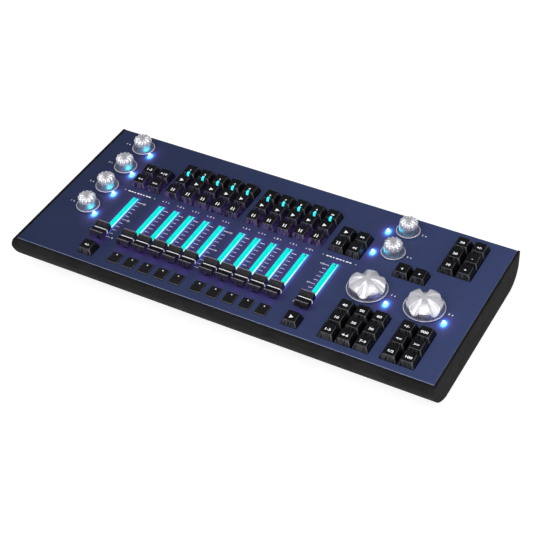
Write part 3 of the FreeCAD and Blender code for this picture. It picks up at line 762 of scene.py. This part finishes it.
def cap_sections():
    """The side view at several depths from the cheek, shrunk towards its middle, as (depth, points)."""
    middle_dy, middle_w = -1.2, 8.0
    sections = []
    for shrink, depth in cap_rounding:
        points = []
        for dy, w in cap_outline:
            toward = Vector((middle_dy - dy, middle_w - w))
            toward.normalize()
            points.append((dy + toward.x * shrink, max(w + toward.y * shrink, cap_foot)))
        sections.append((depth, points))
    return sections


def fader_caps():
    """Caps with rounded edges, painted lighter as highlights on the front and back top edges, a white line
    over the waist and down both cheeks, and a steel blade.
    """
    sections = cap_sections()
    front_and_back_edges = (5, 17, 18)
    blade_half_u, blade_half_v, blade_foot, blade_top = 0.6, 3.0, -8.0, 5.0
    for name in fader_names:
        low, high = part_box(name)
        u0, v0 = panel_uv(low)
        u = (u0 + panel_uv(high)[0]) / 2
        v = v0 + cap_front
        left = [[place(u - (cap_half(w) - depth), v + dy, w) for dy, w in points]
                for depth, points in sections]
        right = [[place(u + (cap_half(w) - depth), v + dy, w) for dy, w in points]
                 for depth, points in reversed(sections)]
        cap = Build()
        cap.rings(left + right)
        # painted highlight: the front and back top edges get the lighter edge colour
        cap.recolour(left + right, 2, columns=front_and_back_edges)
        cap.box(place(u - blade_half_u, v - blade_half_v, blade_foot),
                place(u + blade_half_u, v + blade_half_v, blade_top), 1)
        materials = [fader_black, socket_metal, fader_edge_glint]
        piece = cap.piece(name + "_cap", materials, name + "_body", "fader_cap_black")
        piece.data.set_sharp_from_angle(angle=math.radians(50))
        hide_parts(name)
        fader_line(name, u, v)


def fader_line(name, u, v):
    """A narrow white band over a fader cap's waist and down both its cheeks."""
    half_width, lift, thickness, middle_w = 0.8, 0.06, 0.3, 5.0
    edge_w = 9.6
    path = []
    for side in (-1, 1):
        column = [(side * (cap_half(w) + lift), w) for w in (4.9, 6.2, 7.7, 8.9)]
        column.append((side * (cap_half(edge_w) - 0.25), 9.75))
        column.append((side * (cap_half(edge_w) - 0.8), 9.9 + lift))
        path += column if side < 0 else list(reversed(column))
    band = Build()
    rings = []
    for x, w in path:
        inward = Vector((-x, middle_w - w))
        inward.normalize()
        x2, w2 = x + inward.x * thickness, w + inward.y * thickness
        rings.append([place(u + x, v - half_width, w), place(u + x, v + half_width, w),
                      place(u + x2, v + half_width, w2), place(u + x2, v - half_width, w2)])
    band.rings(rings)
    band.piece(name + "_line", [white_ink], name + "_body", "fader_cap_black", smooth=False)


# ---- encoder knobs ----
def wheel_rings(u, v, levels, segments, radius_at):
    """Rings of points round a knob, where radius_at bends each level's radius with the angle."""
    rings = []
    for radius, w in levels:
        ring = []
        for i in range(segments):
            angle = 2 * math.pi * i / segments
            r, height = radius_at(radius, w, angle)
            ring.append(place(u + r * math.cos(angle), v + r * math.sin(angle), height))
        rings.append(ring)
    return rings


def plain(radius, w, angle):
    return radius, w


# Material slots of a knob's clear parts.
body_index, disc_index, rim_index = 0, 1, 2


def skirt_disc(build, u, v, radius):
    """A thin clear disc with a rounded edge painted pale for the light it gathers."""
    segments = 96
    inner = radius - 1.0
    disc = [(radius * 0.45, 1.3), (inner, 1.3), (inner, 2.1), (radius * 0.45, 2.1)]
    build.rings(wheel_rings(u, v, disc, segments, plain), disc_index)
    bead = [(inner + 0.02, 1.25), (radius - 0.3, 1.25), (radius - 0.06, 1.4), (radius, 1.7),
            (radius - 0.1, 2.0), (radius - 0.35, 2.25), (radius - 0.65, 2.25), (inner + 0.02, 2.1)]
    build.rings(wheel_rings(u, v, bead + bead[:1], segments, plain), rim_index, capped=False)


rib_count = 12
small_skirt, large_skirt = 13.2, 21.8
small_body_levels = ((6.0, 2.2), (9.3, 2.3), (9.7, 2.8), (10.0, 5.0), (10.2, 8.2), (10.1, 8.5), (6.0, 8.55))
small_dome_levels = ((6.0, 8.6), (10.0, 8.65), (10.35, 9.0), (10.3, 10.2), (10.15, 11.6), (9.85, 13.0),
                     (9.3, 14.2), (8.4, 15.1), (7.2, 15.7), (5.8, 16.05), (4.4, 16.25), (3.0, 16.33),
                     (1.6, 16.37), (0.6, 16.38))


def groove(angle):
    """How deep a groove is at an angle, from 0 on a rounded rib to 1 in the sharp groove beside it."""
    return 1.0 - abs(math.cos(rib_count * angle / 2)) ** 0.8


def ribbed_body(radius, w, angle):
    return radius - 0.8 * groove(angle), w


def ribbed_dome(radius, w, angle):
    """Grooves that run out towards the middle of the top."""
    fade = min(1.0, max(0.0, (radius - 2.2) / 5.0))
    return radius - 1.6 * groove(angle) * fade, w - 0.8 * groove(angle) * fade


def small_knob(letter):
    """A ribbed silver dome on a clear ribbed body with a wide clear skirt."""
    name = "encoder_knob_%s" % letter
    u, v = knob_centre(letter)
    clear = Build()
    skirt_disc(clear, u, v, small_skirt)
    clear.rings(wheel_rings(u, v, small_body_levels, 144, ribbed_body), body_index)
    piece = clear.piece(name + "_clear", clear_parts, name + "_body", "knob_silver")
    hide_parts(name)
    dome = Build()
    dome.rings(wheel_rings(u, v, small_dome_levels, 240, ribbed_dome))
    dome.piece(name + "_dome", [knob_silver], name + "_body", "knob_silver")
    knob_hub(name, u, v, 4.2)


def knob_hub(name, u, v, radius):
    """The shaft that comes up through the panel and the hub on it."""
    hub = Build()
    levels = [(2.9, -1.5), (2.9, 1.2), (radius, 1.25), (radius + 0.2, 2.0)]
    hub.rings(wheel_rings(u, v, levels, 48, plain))
    hub.piece(name + "_shaft", [socket_metal], name + "_body", "knob_silver")


large_profile = ((0.0, 15.6), (6.0, 15.45), (10.0, 14.9), (13.5, 13.7), (16.0, 12.3), (18.0, 10.7),
                 (19.0, 9.6))
hollow_count = 5
scoop_start = (5.2, 15.3)
scoop_slope = math.atan2(10.6, 13.2)
scoop_width, scoop_widening = 1.9, 0.33
crease_softness = 0.75
nothing_cut = 99.0


def dome_height(radius):
    """The smooth dome before its finger hollows, by straight steps between its profile's points."""
    for (r0, w0), (r1, w1) in zip(large_profile, large_profile[1:]):
        if radius <= r1:
            return w0 + (w1 - w0) * (radius - r0) / (r1 - r0)
    return large_profile[-1][1]


def scoop_height(along, across):
    """A widening round-bottomed hollow that slopes out and down from near the middle of a large knob."""
    reach = scoop_width + scoop_widening * max(0.0, along - scoop_start[0])
    if abs(across) >= reach or along < 0:
        return nothing_cut
    rise = (reach - math.sqrt(reach * reach - across * across)) / math.cos(scoop_slope)
    return scoop_start[1] - (along - scoop_start[0]) * math.tan(scoop_slope) + rise


def large_top(radius, angle, turn):
    """The lower of the dome and its hollows, with the crease between them rounded a little."""
    height = dome_height(radius)
    soft = crease_softness
    for i in range(hollow_count):
        offset = angle - turn - 2 * math.pi * i / hollow_count
        hollow = scoop_height(radius * math.cos(offset), radius * math.sin(offset))
        if hollow < height + 2.0:
            height = -soft * math.log(math.exp(-height / soft) + math.exp(-hollow / soft))
    return height


def large_knob(letter, turn):
    """A silvered dome with five finger hollows on a clear drum with a wide clear skirt."""
    name = "encoder_knob_%s" % letter
    u, v = knob_centre(letter)
    start = math.radians(turn)
    wall = 1.3
    shoulder_radius, on_top = 18.9, 1

    def shoulder(angle):
        return large_top(shoulder_radius, angle, start)

    def drum_shape(radius, w, angle):
        return radius, w if w < 4.0 else shoulder(angle) - wall - 0.05

    def dome_shape(radius, w, angle):
        """Heights up to 0 count from the shoulder, and on_top means the hollowed top itself."""
        if w > 0:
            return radius, large_top(radius, angle, start)
        return radius, shoulder(angle) + w
    clear = Build()
    skirt_disc(clear, u, v, large_skirt)
    levels = [(13.0, 2.2), (18.2, 2.25), (18.7, 2.6), (18.8, 5.0), (13.0, 5.0)]
    clear.rings(wheel_rings(u, v, levels, 180, drum_shape), body_index)
    piece = clear.piece(name + "_clear", clear_parts, name + "_body", "knob_silver")
    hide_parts(name)
    dome = Build()
    levels = [(13.0, -wall), (18.7, -wall), (19.0, -wall + 0.2), (19.05, -0.9), (18.95, -0.5)]
    levels += [(radius, on_top) for radius in (18.7, 18.3, 17.8, 17.2, 16.6, 16.0, 15.2, 14.4, 13.6, 12.8,
                                               12.0, 11.2, 10.4, 9.6, 8.8, 8.0, 7.2, 6.4, 5.6, 4.8, 3.6,
                                               2.4, 1.2)]
    dome.rings(wheel_rings(u, v, levels, 300, dome_shape))
    dome.piece(name + "_dome", [knob_pearl], name + "_body", "knob_silver")
    knob_hub(name, u, v, 5.2)


def indicator_lamps():
    """A round-topped lens standing beside each knob."""
    levels = [(1.66, -1.0), (1.66, 2.8), (1.58, 3.3), (1.3, 3.8), (0.85, 4.15), (0.3, 4.28)]
    for letter in lamp_offsets:
        u, v = lamp_place(letter)
        lens = Build()
        lens.rings(wheel_rings(u, v, levels, 32, plain))
        lens.piece("lamp_%s" % letter, [lamp_blue], "desk", "indicator_blue")


# ---- printing on the panel ----
# The number printed beside each knob and where it stands from the knob's centre.
knob_labels = {"a": ("1", -22.5, 0.0), "b": ("2", -22.5, 0.0), "c": ("3", -22.5, 0.0),
               "d": ("4", -22.5, 0.0), "e": ("5", 16.5, 0.4), "f": ("6", 16.5, 0.4),
               "x": ("7", 26.0, 2.6), "y": ("8", 25.6, 2.8)}


def panel_print():
    """Scales with their numbers, fader and knob numbers, and plain strokes for the two headings."""
    ink_height = 0.03
    scale_length, scale_steps = 63.2, 10
    tick_from, tick_short, tick_long, tick_half = 5.3, 4.8, 5.8, 0.33
    number_from, number_size = 13.2, 3.4
    fader_number_v, fader_number_size, fader_dot_from = 121.0, 3.9, 3.6
    heading_v, heading_from, stroke_pitch, stroke_half = 120.6, -15.0, 3.8, 0.75
    heading_dot_from = 19.0
    knob_number_size, knob_dot_from = 3.6, 3.6
    ink = Build()
    faint = Build()

    def level(x, y):
        return 0.0

    def mark(outlines, u, v):
        ink.add(*flat_mark(outlines, u, v, level, ink_height))

    def text(words, u, v, size):
        ink.add(*surface_text(words, u, v, size, level, lift=ink_height))
    zero = panel_uv(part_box("fader_cap_01")[0])[1] + cap_front
    full = zero + scale_length
    centres = fader_centres()
    for name, u in zip(fader_names, centres):
        if name == "fader_cap_10":  # the photo shows no scale beside it
            continue
        side = -1 if name == "fader_cap_crossfade" else 1
        for k in range(scale_steps + 1):
            v = zero + (full - zero) * k / scale_steps
            long = tick_long if k % 5 == 0 else tick_short
            outline = bar(min(0, side * long), max(0, side * long), -tick_half, tick_half)
            layer = ink if k == scale_steps else faint
            layer.add(*flat_mark([outline], u + side * tick_from, v, level, ink_height))
    for u, side in ((centres[0], 1), (centres[-1], -1), (centres[5], 1)):
        for value, fraction in (("100", 1.0), ("50", 0.5), ("0", 0.0)):
            text(value, u + side * number_from, zero + (full - zero) * fraction, number_size)
    for number, u in enumerate(centres[1:-1], 1):
        text(str(number), u, fader_number_v, fader_number_size)
        for side in (-1, 1):
            mark([bar(-0.6, 0.6, -0.5, 0.5)], u + side * fader_dot_from, fader_number_v)
    for u in (centres[0], centres[-1]):
        for k in range(8):
            stroke = bar(0, 3.0 - (k % 3) * 0.5, -stroke_half, stroke_half)
            mark([stroke], u + heading_from + stroke_pitch * k, heading_v)
        for side in (-1, 1):
            mark([bar(-0.5, 0.5, -0.5, 0.5)], u + side * heading_dot_from, heading_v)
    for letter, (digit, du, dv) in knob_labels.items():
        u, v = knob_centre(letter)
        text(digit, u + du, v + dv, knob_number_size)
        mark([bar(-0.6, 0.6, -0.6, 0.6)], u + du + knob_dot_from, v + dv)
    ink.piece("panel_print", [white_ink], "desk", "panel_blue", smooth=False)
    faint.piece("panel_scales", [grey_ink], "desk", "panel_blue", smooth=False)


# ---- the CAD nodes' own materials ----
def paint(node, material):
    """Give a CAD node one material all over."""
    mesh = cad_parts[node].data
    if not mesh.materials:
        mesh.materials.append(material)
    for i in range(len(mesh.materials)):
        mesh.materials[i] = material


def guide_material():
    """Cyan bars, whiter at the front of the right-hand one of each pair, and painted dark as shade where
    the fader caps rest over them.
    """
    s = Shader("light_guide_pair", Roughness=0.3, Base_Color=(0.0, 0.05, 0.06, 1.0))
    bar_side, bar_half = 2.75, 0.85 * MM
    white_until, cyan_from = place(0, 78, 0).y, place(0, 108, 0).y
    under_cap = panel_uv(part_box("fader_cap_01")[0])[1] + 8.0
    near = None
    for u in fader_centres():
        right = s.math("COMPARE", s.axis("X"), place(u + bar_side, 0, 0).x)
        right.node.inputs[2].default_value = bar_half
        near = right if near is None else s.math("MAXIMUM", near, right)
    near = s.times(near, s.ramp(s.axis("Y"), 1.0, 0.25, white_until, cyan_from))
    soft = s.noise(260, 2)
    cyan = s.colours(soft, (0.0, 0.72, 0.66), (0.0, 0.92, 0.80))
    bright = s.colours(soft, (0.45, 0.95, 0.95), (0.90, 1.0, 1.0))
    s.to(s.colours(near, cyan, bright, 0.0, 1.0), "Emission Color")
    # painted shade: the guides give no light where the fader caps rest over them
    strength = s.ramp(s.axis("Y"), 0.0, 1.0, place(0, under_cap, 0).y, place(0, under_cap + 2.0, 0).y)
    s.to(strength, "Emission Strength")
    s.bump(s.noise(2000, 2), 0.2, 0.00005)
    return s.material


def cad_materials():
    for node in ("lower_shell", "left_cheek", "right_cheek"):
        paint(node, case_black)
    paint("top_panel", panel_blue())
    paint("rubber_feet", foot_rubber)
    paint("case_screws", screw_steel)
    paint("usb_socket", socket_metal)
    paint("dc_inlet", inlet_black)
    paint("main_board", board_green())
    paint("board_standoffs", standoff_brass)
    paint("key_switches", switch_black)
    paint("flash_switches", switch_black)
    paint("fader_bodies", switch_black)
    paint("encoder_bodies", fader_metal)
    paint("encoder_lights", knob_glow)
    paint("fader_light_guides", guide_material())


# ---- floor, light and camera ----
def stage():
    """A wide white floor that glows a little, so that it stays white around the desk's own shadow."""
    floor = bpy.data.meshes.new("floor")
    size = 12.0
    corners = [(-size, -size, 0), (size, -size, 0), (size, size, 0), (-size, size, 0)]
    floor.from_pydata(corners, [], [(0, 1, 2, 3)])
    white = (1.0, 1.0, 1.0, 1.0)
    s = Shader("floor_white", Roughness=0.9, Emission_Color=white, Emission_Strength=0.84)
    s.to(s.colours(s.noise(3), (0.30, 0.30, 0.30), (0.33, 0.33, 0.33)), "Base Color")
    floor.materials.append(s.material)
    plane = bpy.data.objects.new("floor", floor)
    bpy.context.scene.collection.objects.link(plane)


def area_light(name, location, size, watts):
    """A white softbox in metres, turned to the middle of the desk."""
    data = bpy.data.lights.new(name, "AREA")
    data.shape = "RECTANGLE"
    data.size, data.size_y = size
    data.energy = watts
    light = bpy.data.objects.new(name, data)
    light.location = location
    aim = -Vector(location)
    light.rotation_euler = aim.to_track_quat("-Z", "Y").to_euler()
    bpy.context.scene.collection.objects.link(light)


def lighting():
    world = bpy.data.worlds.new("studio")
    bpy.context.scene.world = world
    world.use_nodes = True
    background = world.node_tree.nodes["Background"]
    background.inputs["Color"].default_value = (0.92, 0.95, 1.0, 1.0)
    background.inputs["Strength"].default_value = 0.16
    area_light("softbox_front", (-0.8, -1.9, 2.3), size=(2.6, 2.0), watts=42)
    area_light("softbox_top", (0.6, -0.4, 2.3), size=(2.0, 1.8), watts=23)
    area_light("softbox_right", (1.9, 0.3, 1.1), size=(0.8, 0.8), watts=6)
    area_light("softbox_low", (0.7, -2.2, 0.5), size=(1.2, 0.6), watts=16)


def camera():
    """A camera at the photo's viewing angle, as it was fitted to the panel's edges and key blocks."""
    azimuth, elevation, roll = (math.radians(a) for a in (30.827, 41.959, -3.128))
    stand = place(830.8, -872.3, 994.3)
    back = Vector((math.sin(azimuth) * math.cos(elevation), -math.cos(azimuth) * math.cos(elevation),
                   math.sin(elevation)))
    level = Vector((math.cos(azimuth), math.sin(azimuth), 0))
    raised = back.cross(level)
    right = level * math.cos(roll) + raised * math.sin(roll)
    up = raised * math.cos(roll) - level * math.sin(roll)
    data = bpy.data.cameras.new("camera")
    data.lens = 96.43
    data.sensor_width = 36.0
    data.clip_end = 20.0
    view = bpy.data.objects.new("camera", data)
    rotation = Matrix((right, up, back)).transposed()
    view.matrix_world = Matrix.Translation(stand) @ rotation.to_4x4()
    bpy.context.scene.collection.objects.link(view)
    bpy.context.scene.camera = view


clear_acrylic = knob_clear()
water_clear = clear_skirt()
lamp_blue = indicator_blue()
pale_rim = knob_rim()
clear_parts = [clear_acrylic, water_clear, pale_rim]
keycap_black = glossy_black("keycap_black", grain=3200.0, near_v=122.0, reach=26.0, strength=0.20,
                            shine=0.30, rough=0.22, front_sheen=(0.050, 0.050, 0.056))
fader_black = glossy_black("fader_cap_black", grain=2800.0, near_v=45.0, reach=30.0, strength=0.10,
                           shine=0.18, rough=0.42, front_sheen=(0.016, 0.015, 0.019))
camera()
stage()
lighting()
cad_materials()
keys()
flash_buttons()
fader_caps()
for knob in small_knobs:
    small_knob(knob)
large_knob("x", turn=-7)
large_knob("y", turn=41)
indicator_lamps()
panel_print()
bpy.context.scene.view_settings.view_transform = "Standard"
